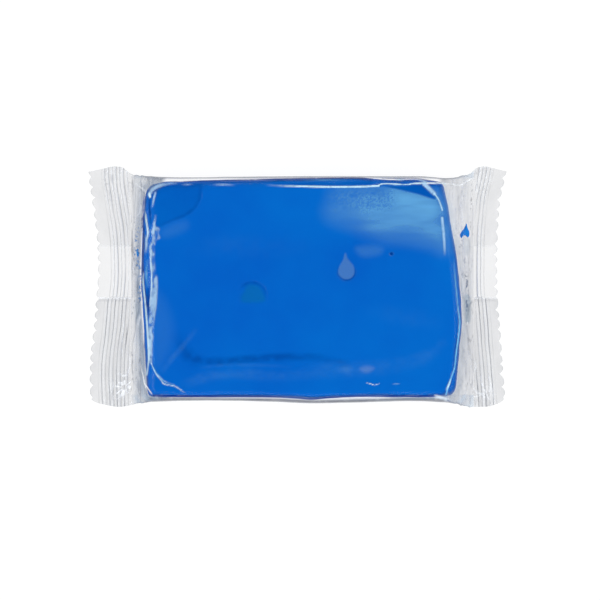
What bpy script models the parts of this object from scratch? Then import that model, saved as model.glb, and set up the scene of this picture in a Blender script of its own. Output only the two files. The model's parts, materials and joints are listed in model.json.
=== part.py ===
"""Car detailing clay bar, sealed in its clear flow-wrap film.

A slab of blue clay lies in a tube of clear film. The film's two long edges are sealed
face to face into a fin down the back, and the tube's two ends are crimped flat. The fin
and the crimped ends fold about their roots. The film's faces here are thicker than real
film, so that they are solids with a gap to the clay.

Frame: X along the bar, Y across it, Z up. The origin is under the middle of the pack, on
the surface that it lies on. Lengths are in millimetres up to add_object, which scales
them to metres.
"""

import math

import bmesh
import bpy
from mathutils import Vector

MM = 0.001

# The slab, and the film round it
GAP = 0.3
FILM = 0.25
CLAY_THICKNESS = 9.9
CLAY_BOTTOM = FILM + GAP
CLAY_TOP = CLAY_BOTTOM + CLAY_THICKNESS
TOP_ROUND = 4.2
BOTTOM_ROUND = 2.6
BOTTOM_INSET = 1.6

# Outlines run clockwise as seen from above. Each corner is (x, y, length), where length
# is how far along both of its sides the corner starts to curve. All three outlines have
# the same corners, so that the film can follow the slab.
SLAB_SIDE = [
    (-38.75, 26.4, 3.6), (-33.0, 26.8, 1.0), (3.0, 27.3, 12.0), (31.0, 26.7, 1.0),
    (36.0, 26.2, 1.4), (41.3, -4.5, 13.0), (39.2, -27.5, 2.6), (33.0, -27.5, 1.0),
    (-33.0, -27.5, 1.0), (-37.9, -27.5, 1.8), (-38.75, -8.0, 10.0),
]
SLAB_TOP = [
    (-35.6, 24.6, 2.6), (-31.0, 24.8, 1.0), (3.0, 25.2, 12.0), (29.5, 25.0, 1.0),
    (34.0, 24.4, 1.2), (39.3, -7.5, 13.0), (37.2, -25.9, 2.2), (31.5, -26.4, 1.0),
    (-31.5, -26.4, 1.0), (-36.2, -26.0, 1.6), (-35.6, -8.0, 10.0),
]
LEFT_RIM = -41.1
RIGHT_RIM = 43.3
FILM_RIM = [
    (LEFT_RIM, 28.1, 0.5), (-34.0, 28.2, 1.0), (3.0, 28.4, 12.0), (32.0, 28.2, 1.0),
    (RIGHT_RIM, 28.3, 0.5), (RIGHT_RIM, -5.0, 13.0), (RIGHT_RIM, -28.9, 0.5), (34.0, -28.8, 1.0),
    (-34.0, -28.8, 1.0), (LEFT_RIM, -28.9, 0.5), (LEFT_RIM, -8.0, 10.0),
]
CORNER_STEPS = 3
SHOULDER_STEPS = 4

# The crimped end seals. Each folds about a line that is AXIS_OFFSET beyond the rim of
# the film, and its ribs run across the pack.
SEAL_LEVEL = 4.6
SEAL_THICKNESS = 0.3
AXIS_OFFSET = 0.6
HALF_LENGTH = 52.5
HALF_WIDTH = 30.1
CORNER_DROP = 1.6
BOW = 2.5
RIB_PITCH = 1.85
RIB_HEIGHT = 0.25
RIB_START = 0.9
TEETH = 23
TOOTH_DEPTH = 1.2
SEAL_ROWS = 10

# The fin seal, folded flat against the back in a shallow recess. It is drawn as far as
# the flat of the back goes.
FIN_ROOT = -2.9
FIN_WIDTH = 13.2
FIN_THICKNESS = 0.3
FIN_BASE = 0.05
FIN_LEFT = -36.0
FIN_RIGHT = 37.0
RECESS_DEPTH = FIN_BASE + FIN_THICKNESS + GAP
RECESS_SIDE = 0.3
SLIT = 0.3

# Crumbs of clay caught beside the slab: (x, y, length in x, length in y, thickness)
CRUMB_RIGHT = (41.7, 13.6, 1.9, 3.3, 0.6)
CRUMB_LEFT = (-40.05, 8.4, 0.7, 2.0, 0.35)

FAR = 80.0
SMOOTH_ANGLE = math.radians(35)

BLUE = (0.0, 0.122, 0.604)
CLEAR = (0.86, 0.87, 0.88)
CLEAR_ALPHA = 0.35


def make_material(name, colour, alpha, roughness):
    made = bpy.data.materials.new(name)
    made.use_nodes = True
    shader = made.node_tree.nodes["Principled BSDF"]
    shader.inputs["Base Color"].default_value = (*colour, 1.0)
    shader.inputs["Alpha"].default_value = alpha
    shader.inputs["Roughness"].default_value = roughness
    shader.inputs["Metallic"].default_value = 0.0
    return made


def add_object(name, bm, finish, origin=(0.0, 0.0, 0.0)):
    """Makes an object of the mesh, in metres, with its origin at the given point."""
    bmesh.ops.translate(bm, verts=bm.verts, vec=-Vector(origin))
    bmesh.ops.scale(bm, verts=bm.verts, vec=(MM, MM, MM))
    bmesh.ops.recalc_face_normals(bm, faces=bm.faces)
    mesh = bpy.data.meshes.new(name)
    bm.to_mesh(mesh)
    bm.free()
    mesh.shade_smooth()
    mesh.set_sharp_from_angle(angle=SMOOTH_ANGLE)
    mesh.materials.append(finish)
    made = bpy.data.objects.new(name, mesh)
    made.location = Vector(origin) * MM
    bpy.context.scene.collection.objects.link(made)
    return made


def add_cutter(name, bm, finish):
    made = add_object(name, bm, finish)
    made.hide_render = True
    made.display_type = "WIRE"
    return made


def cut(target, tool):
    modifier = target.modifiers.new(tool.name, "BOOLEAN")
    modifier.operation = "DIFFERENCE"
    modifier.solver = "EXACT"
    modifier.object = tool


def outline(corners):
    """Points round a closed outline, whose corners are curves between their two sides."""
    points = []
    for i, (x, y, length) in enumerate(corners):
        corner = Vector((x, y))
        previous = Vector(corners[i - 1][:2])
        following = Vector(corners[(i + 1) % len(corners)][:2])
        before = (previous - corner).normalized() * length
        after = (following - corner).normalized() * length
        for step in range(CORNER_STEPS + 1):
            t = step / CORNER_STEPS
            points.append(corner + before * (1 - t) ** 2 + after * t ** 2)
    return points


def outward(points):
    """The direction out of a clockwise outline at each of its points."""
    directions = []
    for i, point in enumerate(points):
        along = points[(i + 1) % len(points)] - points[i - 1]
        directions.append(Vector((-along.y, along.x)).normalized())
    return directions


def drawn_in(corners, distance):
    """The same corners, each nearer the middle by the distance along x and along y."""
    return [
        (x - math.copysign(distance, x), y - math.copysign(distance, y), length)
        for x, y, length in corners
    ]


def shoulder(side, face, side_z, face_z, offset):
    """Rings (points, z) from the slab's side round to one of its faces, pushed out by offset."""
    rings = []
    down_or_up = math.copysign(1.0, face_z - side_z)
    for step in range(SHOULDER_STEPS + 1):
        turn = math.radians(90) * step / SHOULDER_STEPS
        out, rise = math.cos(turn), math.sin(turn)
        points = []
        for s, f, n in zip(side, face, outward(side)):
            points.append(f + (s - f) * out + n * offset * out)
        rings.append((points, side_z + (face_z - side_z) * rise + down_or_up * offset * rise))
    return rings


def loft(rings):
    """A closed solid through rings of equal count, with a flat face at each end."""
    bm = bmesh.new()
    loops = [[bm.verts.new((p.x, p.y, z)) for p in points] for points, z in rings]
    for low, high in zip(loops, loops[1:]):
        for i in range(len(low)):
            j = (i + 1) % len(low)
            bm.faces.new((low[i], low[j], high[j], high[i]))
    bm.faces.new(loops[0])
    bm.faces.new(loops[-1])
    return bm


def box(low, high):
    bm = bmesh.new()
    bmesh.ops.create_cube(bm, size=1.0)
    bmesh.ops.scale(bm, verts=bm.verts, vec=Vector(high) - Vector(low))
    bmesh.ops.translate(bm, verts=bm.verts, vec=(Vector(high) + Vector(low)) / 2)
    return bm


def film_space(face, side_z, face_z, rim_z, offset):
    """The space under one panel of film: the slab's shape pushed out by offset.

    Towards the rim the film leaves the slab and runs out to the seals."""
    side = outline(SLAB_SIDE)
    reach = [r - s - n * (GAP + FILM) for r, s, n in zip(outline(FILM_RIM), side, outward(side))]
    rim = [s + n * offset + extra for s, n, extra in zip(side, outward(side), reach)]
    rings = [(rim, rim_z)]
    for points, z in shoulder(side, face, side_z, face_z, offset):
        share = max(0.0, (face_z - z) / (face_z - SEAL_LEVEL))
        rings.append(([p + extra * share for p, extra in zip(points, reach)], z))
    return rings


def front_space(offset):
    rim_z = SEAL_LEVEL + GAP / 2
    return film_space(outline(SLAB_TOP), CLAY_TOP - TOP_ROUND, CLAY_TOP, rim_z, offset)


def back_space(offset):
    bottom = outline(drawn_in(SLAB_SIDE, BOTTOM_INSET))
    rim_z = SEAL_LEVEL - GAP / 2
    return film_space(bottom, CLAY_BOTTOM + BOTTOM_ROUND, CLAY_BOTTOM, rim_z, offset)


def recess(name, margin, finish):
    """A cutter for the fin's recess, which is larger by margin in the pieces above the film."""
    low = (-FAR, FIN_ROOT - RECESS_SIDE - margin, -FAR)
    high = (FAR, FIN_ROOT + FIN_WIDTH + RECESS_SIDE + margin, RECESS_DEPTH + margin)
    return add_cutter(name, box(low, high), finish)


def make_clay(blue, groove):
    side = outline(SLAB_SIDE)
    bottom = outline(drawn_in(SLAB_SIDE, BOTTOM_INSET))
    lower = shoulder(side, bottom, CLAY_BOTTOM + BOTTOM_ROUND, CLAY_BOTTOM, 0.0)
    upper = shoulder(side, outline(SLAB_TOP), CLAY_TOP - TOP_ROUND, CLAY_TOP, 0.0)
    cut(add_object("clay_bar", loft(lower[::-1] + upper), blue), groove)


def make_front_panel(clear):
    """A dome of film over the slab, open underneath at the level of the seals."""
    outside = front_space(GAP + FILM)
    inside = front_space(GAP)
    bm = loft(outside[::-1] + inside)
    add_object("film_front_panel", bm, clear)


def make_back_panels(clear):
    """A tray of film under the slab, in two webs that meet at the root of the fin."""
    hollow = add_cutter("hollow", loft(back_space(GAP)), clear)
    cut(hollow, recess("recess_over_film", FILM, clear))
    under_film = recess("recess_under_film", 0.0, clear)
    slit_low, slit_high = FIN_ROOT - SLIT / 2, FIN_ROOT + SLIT / 2
    webs = {
        "film_back_panel_fin_side": box((-FAR, -FAR, -FAR), (FAR, slit_high, FAR)),
        "film_back_panel_far_side": box((-FAR, slit_low, -FAR), (FAR, FAR, FAR)),
    }
    for name, other_side in webs.items():
        web = add_object(name, loft(back_space(GAP + FILM)), clear)
        cut(web, under_film)
        cut(web, hollow)
        cut(web, add_cutter(name + "_end", other_side, clear))


def make_fin(clear):
    low = (FIN_LEFT, FIN_ROOT + GAP, FIN_BASE)
    high = (FIN_RIGHT, FIN_ROOT + FIN_WIDTH, FIN_BASE + FIN_THICKNESS)
    axis_z = FIN_BASE + FIN_THICKNESS / 2
    add_object("back_fin_seal", box(low, high), clear, origin=(0.0, FIN_ROOT, axis_z))


def make_seal(name, rim, out, clear):
    """A crimped end: ribs across the pack, then a plain margin with a toothed edge.

    out is -1 at the left end and 1 at the right. The edge bows in between its corners,
    and the ribs bow with it."""
    axis = rim + out * AXIS_OFFSET
    longest = HALF_LENGTH - abs(axis)
    ribs = int((longest - RIB_START - TOOTH_DEPTH) / RIB_PITCH)

    def point(share, across, shorten=0.0):
        length = longest - BOW * (1 - across ** 2) - shorten
        half_width = HALF_WIDTH - CORNER_DROP * (2 * share - 1) ** 2
        return axis + out * share * length, across * half_width

    columns = [(-GAP / longest, 0.0), (RIB_START / longest, 0.0)]
    for rib in range(ribs):
        start = RIB_START + rib * RIB_PITCH
        columns.append(((start + RIB_PITCH / 4) / longest, RIB_HEIGHT))
        columns.append(((start + RIB_PITCH * 3 / 4) / longest, -RIB_HEIGHT))
    columns.append(((RIB_START + ribs * RIB_PITCH) / longest, 0.0))

    bm = bmesh.new()
    base = SEAL_LEVEL - SEAL_THICKNESS / 2
    grid = []
    for share, height in columns:
        rows = [point(share, -1 + 2 * row / SEAL_ROWS) for row in range(SEAL_ROWS + 1)]
        grid.append([bm.verts.new((x, y, base + height)) for x, y in rows])
    for near, far in zip(grid, grid[1:]):
        for row in range(SEAL_ROWS):
            bm.faces.new((near[row], near[row + 1], far[row + 1], far[row]))
    edge = []
    for k in range(2 * TEETH + 1):
        x, y = point(1.0, -1 + k / TEETH, shorten=TOOTH_DEPTH * (k % 2))
        edge.append(bm.verts.new((x, y, base)))
    bm.faces.new(grid[-1] + edge[::-1])

    extruded = bmesh.ops.extrude_face_region(bm, geom=bm.faces[:])
    raised = [item for item in extruded["geom"] if isinstance(item, bmesh.types.BMVert)]
    bmesh.ops.translate(bm, verts=raised, vec=(0.0, 0.0, SEAL_THICKNESS))
    add_object(name, bm, clear, origin=(axis, 0.0, SEAL_LEVEL))


def make_crumb(name, place, blue):
    """A flattened pebble, narrower towards one end."""
    x, y, length, width, thickness = place
    bm = bmesh.new()
    bmesh.ops.create_icosphere(bm, subdivisions=2, radius=0.5)
    for vert in bm.verts:
        taper = 1.0 - 0.5 * max(0.0, vert.co.y)
        vert.co = Vector((vert.co.x * length * taper, vert.co.y * width, vert.co.z * thickness))
    bmesh.ops.translate(bm, verts=bm.verts, vec=(x, y, SEAL_LEVEL))
    add_object(name, bm, blue)


def main():
    for old in list(bpy.data.objects):
        bpy.data.objects.remove(old)
    blue = make_material("blue_clay", BLUE, 1.0, 0.45)
    clear = make_material("clear_film", CLEAR, CLEAR_ALPHA, 0.12)
    make_clay(blue, recess("groove_in_clay", FILM + GAP, clear))
    make_front_panel(clear)
    make_back_panels(clear)
    make_fin(clear)
    make_seal("left_end_seal", LEFT_RIM, -1, clear)
    make_seal("right_end_seal", RIGHT_RIM, 1, clear)
    make_crumb("clay_crumb_right", CRUMB_RIGHT, blue)
    make_crumb("clay_crumb_left", CRUMB_LEFT, blue)


main()
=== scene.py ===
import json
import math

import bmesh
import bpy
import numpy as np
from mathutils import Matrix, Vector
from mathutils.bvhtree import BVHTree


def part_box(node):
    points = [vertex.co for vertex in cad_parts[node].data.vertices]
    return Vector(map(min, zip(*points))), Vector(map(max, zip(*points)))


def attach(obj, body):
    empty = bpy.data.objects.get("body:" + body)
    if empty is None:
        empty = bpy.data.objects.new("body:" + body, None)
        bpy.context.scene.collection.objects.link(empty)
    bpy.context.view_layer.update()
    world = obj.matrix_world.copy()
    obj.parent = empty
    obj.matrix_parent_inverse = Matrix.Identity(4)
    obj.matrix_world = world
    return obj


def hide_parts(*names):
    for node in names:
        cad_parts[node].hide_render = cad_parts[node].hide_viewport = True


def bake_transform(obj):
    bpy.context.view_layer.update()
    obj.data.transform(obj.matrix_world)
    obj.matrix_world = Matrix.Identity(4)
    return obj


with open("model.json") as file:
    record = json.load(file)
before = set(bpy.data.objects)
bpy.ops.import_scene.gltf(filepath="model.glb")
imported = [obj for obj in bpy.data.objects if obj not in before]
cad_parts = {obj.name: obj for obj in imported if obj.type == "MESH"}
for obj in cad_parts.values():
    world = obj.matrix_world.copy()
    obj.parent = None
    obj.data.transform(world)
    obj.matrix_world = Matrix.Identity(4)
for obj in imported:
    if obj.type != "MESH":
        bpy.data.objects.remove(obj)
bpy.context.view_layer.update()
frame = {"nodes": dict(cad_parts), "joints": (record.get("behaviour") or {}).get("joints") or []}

# Looks of the clay bar: the slab of blue clay and the crinkled clear film round it.
#
# The film is modelled as thin sheets. The front sheet runs from the cut edge of one end
# seal, over the slab, to the cut edge of the other. The back sheet runs under the slab from
# one seal's root to the other's, and the fin lies flat under it. Lengths are in
# millimetres, and make_object scales them to metres.

MM = 0.001

# Places taken from the frame
JOINTS = {joint["name"]: joint for joint in frame["joints"]}
LEFT_ROOT, _, SEAL_Z = (value / MM for value in JOINTS["left_seal_fold"]["pos_m"])
RIGHT_ROOT = JOINTS["right_seal_fold"]["pos_m"][0] / MM
FIN_ROOT = JOINTS["back_fin_lift"]["pos_m"][1] / MM
CLAY_LOW, CLAY_HIGH = (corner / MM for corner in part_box("clay_bar"))
FIN_LOW, FIN_HIGH = (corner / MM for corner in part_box("back_fin_seal"))

# The film
CLING = 0.06
FILM_TOP = CLAY_HIGH.z + CLING
FILM_BOTTOM = CLAY_LOW.z - CLING
ROWS = 301
END_STRIP = 1.5

# Outline of the film as (x, y) along its far side (+Y) and its near side (-Y), and as
# (y, x) along the cut edges of the two end seals
FAR_SIDE = [
    (-52.5, 28.7), (-49.5, 29.3), (-45.6, 30.0), (-43.7, 29.7), (-42.4, 28.6), (-41.0, 27.9),
    (-37.0, 27.6), (-10.0, 27.5), (8.0, 27.6), (30.0, 27.6), (41.0, 27.6), (43.0, 28.2), (44.6, 29.6),
    (46.0, 30.0), (49.0, 29.5), (52.4, 28.7),
]
NEAR_SIDE = [
    (-52.3, -28.0), (-50.5, -29.0), (-48.5, -29.5), (-44.5, -30.1), (-41.5, -29.6), (-38.9, -29.0),
    (-35.0, -28.8), (-9.0, -28.7), (3.3, -29.2), (14.0, -29.0), (35.0, -28.85), (39.2, -29.2),
    (42.0, -29.9), (45.0, -30.1), (48.0, -29.9), (50.5, -29.0), (52.3, -27.8),
]
LEFT_CUT = [
    (-30.0, -51.9), (-23.0, -52.1), (-16.0, -51.8), (-10.5, -51.1), (-3.2, -50.5), (1.0, -50.1),
    (9.0, -50.1), (16.5, -50.8), (22.0, -51.6), (28.6, -52.4), (30.0, -52.4),
]
RIGHT_CUT = [
    (-30.0, 52.0), (-27.0, 51.8), (-21.0, 51.3), (-13.5, 50.8), (-8.5, 50.4), (-3.5, 50.0), (4.0, 49.8),
    (15.5, 50.1), (21.5, 50.6), (28.6, 52.1), (30.0, 52.3),
]
# The right side of the slab's top face, as (y, x): the slab is lopsided there
RIGHT_FACE = [
    (-30.0, 36.8), (-26.0, 37.0), (-20.0, 38.2), (-8.0, 38.8), (5.0, 37.6), (24.0, 34.2), (30.0, 33.2),
]
LEFT_FACE_X = -35.6
TOOTH_PITCH = 2.75
TOOTH_DEPTH = 0.9
RIB_PITCH = 1.85
RIB_MARGIN = 2.5
FLAP_SHIFT = 1.1
RIB_HEIGHT = 0.16
WALL_TOP = 7.3
FLAP_FAR = FIN_HIGH.y + 0.4

# Colours laid on the film. The pale ones are mostly painted highlights and painted reflections,
# GREY is the film's own grey and painted shade lines, BLUE_GREY a painted reflection of the
# clay with painted shade, and the dark ones mostly painted shade. RIM and EDGE are its body and
# its reflection seen edge-on, and the darkening towards RIM is partly painted shade.
WHITE = (0.95, 0.97, 1.0)
SILVER = (0.6, 0.62, 0.66)
GREY = (0.3, 0.31, 0.34)
BLUE_GREY = (0.2, 0.31, 0.44)
# painted shadow where the film stands off the slab's near side
SHADOW_GREY = (0.11, 0.12, 0.15)
DARK = (0.08, 0.08, 0.1)
# a painted reflection of a soft light in the film, and painted light on faint waves in the clay
SHEEN_BLUE = (0.19, 0.59, 1.0)
LAVENDER = (0.52, 0.77, 1.0)
ICE = (0.64, 0.88, 1.0)
SKY = (0.2, 0.62, 1.0)
# painted shade along the slab's edges and creases, and in faint waves in the clay
NAVY_SHADE = (0.0, 0.03, 0.28)
RIM = (0.01, 0.02, 0.06)
EDGE = (0.12, 0.16, 0.22)
# Over 1 by a little, so that the way through film seen edge-on isn't endless
EDGE_ON = 1.08
# How much of the white shows on plain film
BARE = 0.0005

# Creases in the film over the slab and beside it, with painted highlights and painted shade on
# them, and painted shade along the slab's edges. Each is a line of (x, y, strength) points,
# its width, its colour, how much of it is laid down, and how far it stands up.
CREASES_LIGHT_AND_SHADE = [
    # painted highlights on the long crease along the far edge of the top face and its thinner end,
    # with painted shade beside them
    ([(-8, 25.2, 0), (-4, 25.0, 0.35), (0.5, 24.9, 0.9), (7.5, 24.75, 1), (15.2, 24.8, 1),
      (20.1, 25.0, 1)], 0.42, ICE, 1.0, 0.16),
    ([(19.5, 24.9, 1), (21.4, 25.5, 1), (26.8, 25.3, 0.9), (29.3, 25.6, 1), (35.6, 25.6, 0.9),
      (36.6, 25.4, 0.6)], 0.28, ICE, 1.0, 0.14),
    ([(-21.5, 25.3, 0), (-18.5, 25.3, 1), (-15.5, 25.2, 0)], 0.5, LAVENDER, 0.45, 0.05),
    ([(-29, 25.3, 0), (-27.5, 25.3, 1), (-26, 25.4, 0)], 0.4, LAVENDER, 0.35, 0.04),
    ([(-6, 25.6, 0.3), (2, 25.5, 0.9), (10, 25.4, 1), (18, 25.7, 0.9)], 0.6, NAVY_SHADE, 0.1, 0.0),
    ([(1, 26.3, 0), (7, 26.45, 0.8), (14, 26.4, 0)], 0.4, SKY, 0.35, 0.05),
    ([(24.4, 26.6, 0.4), (25.2, 26.6, 1), (26.2, 26.5, 0.3)], 0.55, LAVENDER, 0.6, 0.05),
    ([(29.8, 26.5, 0.3), (31, 26.2, 1), (32.4, 25.8, 0.6)], 0.4, LAVENDER, 0.6, 0.05),
    # the far left corner
    ([(-37.0, 22.8, 0.8), (-36.0, 24.2, 1), (-34.2, 25.1, 0.9), (-32, 25.6, 0.7), (-30.2, 25.8, 0.2)],
     0.75, LAVENDER, 0.5, 0.14),
    ([(-36.9, 23.1, 1), (-36.8, 22.3, 1)], 0.55, ICE, 1.0, 0.05),
    ([(-35.4, 23.3, 0.5), (-35.8, 21.8, 1), (-36.2, 19.8, 0.2)], 0.5, LAVENDER, 0.75, 0.1),
    ([(-40.4, 25.6, 0.3), (-38.8, 24.4, 1), (-37.9, 23.4, 0.3)], 0.3, WHITE, 1.0, 0.1),
    # down the left side
    ([(-38.0, 18.6, 0.3), (-37.75, 16.5, 1), (-37.3, 13.4, 1), (-37.6, 11.5, 0.3)], 0.42, ICE, 0.95, 0.12),
    ([(-37.8, 12.6, 0.3), (-37.7, 10.5, 0.9), (-37.9, 8.4, 0.2)], 0.6, LAVENDER, 0.7, 0.06),
    ([(-35.4, 17.6, 0.2), (-35.7, 15.5, 0.9), (-36.0, 13.2, 0.8)], 0.55, LAVENDER, 0.55, 0.08),
    ([(-38.4, 3.5, 0.2), (-38.5, 1.0, 0.9), (-37.9, -5.0, 1), (-37.4, -11.5, 1), (-37.1, -18.0, 1),
      (-37.6, -22, 0.5)], 0.42, ICE, 0.85, 0.14),
    ([(-36.7, 9.0, 0.4), (-36.5, 5.0, 1), (-36.4, 0.0, 0.9), (-36.9, -5.0, 0.5)], 0.22, ICE, 0.9, 0.08),
    ([(-37.5, 6.5, 0.2), (-37.7, 3.0, 0.8), (-37.4, 0.0, 0.2)], 0.5, SKY, 0.6, 0.04),
    # the near left corner
    ([(-36.5, -19.0, 0.9), (-35.4, -21.5, 1), (-33.9, -23.5, 1), (-33.1, -24.3, 1), (-30.3, -24.9, 0.9),
      (-28.4, -26.3, 0.6)], 0.2, ICE, 0.9, 0.14),
    ([(-36.1, -20.0, 0.4), (-34.4, -22.4, 1), (-33.0, -23.7, 0.9), (-30.8, -24.5, 0.4)],
     0.24, SKY, 0.8, 0.08),
    ([(-38.2, -24.2, 1), (-37.3, -25.4, 1), (-36.4, -26.7, 0.7)], 0.26, WHITE, 1.0, 0.1),
    ([(-39.3, -18.8, 0.3), (-38.5, -22.9, 1), (-38.0, -25.2, 0.8)], 0.3, WHITE, 0.9, 0.1),
    # the far right corner and down the right side
    ([(31.4, 25.4, 1), (32.3, 24.6, 1), (33.8, 23.1, 0.7)], 0.95, LAVENDER, 0.75, 0.14),
    ([(33.8, 23.2, 0.8), (34.4, 22.4, 1), (35.1, 21.2, 0.9), (35.9, 18.9, 1)], 0.28, ICE, 0.85, 0.12),
    ([(35.8, 17.0, 1), (36.2, 12.9, 0.9), (36.4, 10.0, 0.7), (36.5, 7.5, 0)], 0.55, LAVENDER, 0.7, 0.12),
    ([(38.6, 8.0, 0), (39.1, 1.6, 0.5), (39.8, -5.4, 0.8), (40.2, -8.9, 1), (39.8, -13.1, 1),
      (39.3, -16.6, 1), (38.9, -20.1, 0.9), (38.0, -22.9, 0.9), (37.3, -25.0, 1), (36.8, -26.8, 0.7)],
     0.34, SKY, 0.85, 0.12),
    ([(37.9, -23.2, 0.3), (37.4, -24.6, 1), (36.9, -25.6, 0.4)], 0.45, ICE, 0.75, 0.08),
    ([(32.1, 25.6, 0.6), (37.0, 25.7, 1), (40.1, 25.3, 1), (42.0, 26.2, 1), (44.4, 27.4, 0.7)],
     0.34, WHITE, 1.0, 0.14),
    # the near right corner
    ([(34.2, -27.3, 0.8), (36.2, -27.9, 1), (39.0, -29.2, 0.8)], 0.8, (0.8, 0.9, 1.0), 0.75, 0.1),
    ([(37.2, -28.2, 1), (38.2, -28.8, 1), (39.3, -29.5, 1)], 0.28, NAVY_SHADE, 0.7, 0.0),
    # small painted highlights on the flat top
    ([(17.0, -24.0, 0.6), (18.0, -24.2, 1), (19.0, -24.5, 1), (20.2, -24.2, 0.7)], 0.17, ICE, 0.8, 0.05),
    ([(23.6, -24.3, 0.3), (24.6, -24.3, 0.8), (25.2, -24.2, 0.2)], 0.22, SKY, 0.6, 0.03),
    # painted shadow, shade and reflection where the film stands off the slab's near side, with a
    # painted highlight along it
    ([(-38, -28.3, 0.6), (-30, -28.3, 0.9), (-9, -28.2, 0.9), (3, -28.7, 1), (14, -28.5, 1),
      (26, -28.3, 1), (36, -28.4, 0.8)], 0.84, SHADOW_GREY, 0.5, 0.0),
    ([(-37, -27.8, 0.6), (-30, -27.75, 1), (-22, -27.75, 0.8), (-15, -27.8, 0)], 0.5, SHADOW_GREY, 0.45, 0.0),
    ([(20, -27.8, 0), (25, -27.9, 0.8), (31, -27.9, 0.9), (35, -27.9, 0.5)], 0.45, SHADOW_GREY, 0.38, 0.0),
    ([(-32, -27.7, 0.2), (-22, -27.75, 0.45), (-14, -27.7, 0.9), (-6, -27.75, 0.9), (-1, -28.05, 0.4),
      (3, -28.3, 0.2), (8, -28.0, 0.7), (14, -27.65, 0.95), (20, -27.7, 0.9), (26, -27.9, 0.1)],
     0.26, WHITE, 0.9, 0.0),
    ([(6, -28.6, 0), (11, -28.6, 0.8), (18, -28.5, 0.9), (21, -28.6, 0)], 0.26, DARK, 0.7, 0.0),
    ([(-13, -28.2, 0), (-10.5, -28.2, 1), (-7, -28.2, 0)], 0.3, DARK, 0.7, 0.0),
    ([(23, -27.9, 0.2), (28, -28.0, 0.8), (34, -27.9, 0.8)], 0.4, BLUE_GREY, 0.75, 0.0),
    ([(-36, -27.2, 0.9), (-28, -27.3, 1), (-14, -27.4, 0.8), (-2, -27.6, 0.8), (3.3, -28.0, 1),
      (8, -27.6, 0.8), (15, -27.3, 0.6), (24, -27.3, 0.9), (34, -27.3, 0.9)], 0.42, NAVY_SHADE, 0.8, 0.0),
    # painted shade along the slab's far edge, under the film
    ([(-34, 25.7, 0.4), (-30, 26.0, 0.7), (-17, 26.4, 0.9), (-5, 26.7, 1), (8, 27.0, 1),
      (15, 27.05, 0.9), (18.5, 26.7, 0.8)], 0.36, NAVY_SHADE, 0.65, 0.0),
    ([(21, 26.9, 0.5), (25, 26.9, 0.9), (29, 26.9, 0.8), (33, 26.3, 0.9), (35.6, 25.8, 0.5)],
     0.3, NAVY_SHADE, 0.55, 0.0),
]

# Patches of the film over the slab, each an outline, the softness of its edge, its colour
# and how much of it is laid down. The sheen patches are painted reflections, the lavender ones
# painted highlights, and the navy ones painted shade.
# outlines of the painted reflection over the top right, from its soft edge to its core
SHEEN_PATCH = [
    (10, 25.0), (15, 25.2), (22, 25.4), (28, 24.6), (33.4, 23.0), (35.6, 20.0), (36.4, 14.0),
    (36.4, 9.5), (33, 10.8), (27, 12.0), (20, 12.8), (14, 15.2), (8, 17.6), (8.5, 21.0),
]
SHEEN_MIDDLE = [
    (15, 20.5), (20, 21.5), (24, 24.6), (30, 24.0), (34.6, 22.0), (35.8, 18.0), (36.2, 13.0),
    (30, 14.2), (24, 14.6), (18, 15.6),
]
SHEEN_CORE = [(23, 25.0), (28, 24.2), (33.8, 22.4), (35.4, 19.2), (33, 17.6), (28, 18.4), (24.5, 20.5)]
# where the painted reflection is broken into sparkle
SHEEN_SPARKLE_PATCH = [(9, 24.2), (21.5, 24.4), (24, 22), (22, 19.4), (15, 18.8), (9.5, 20)]
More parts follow.
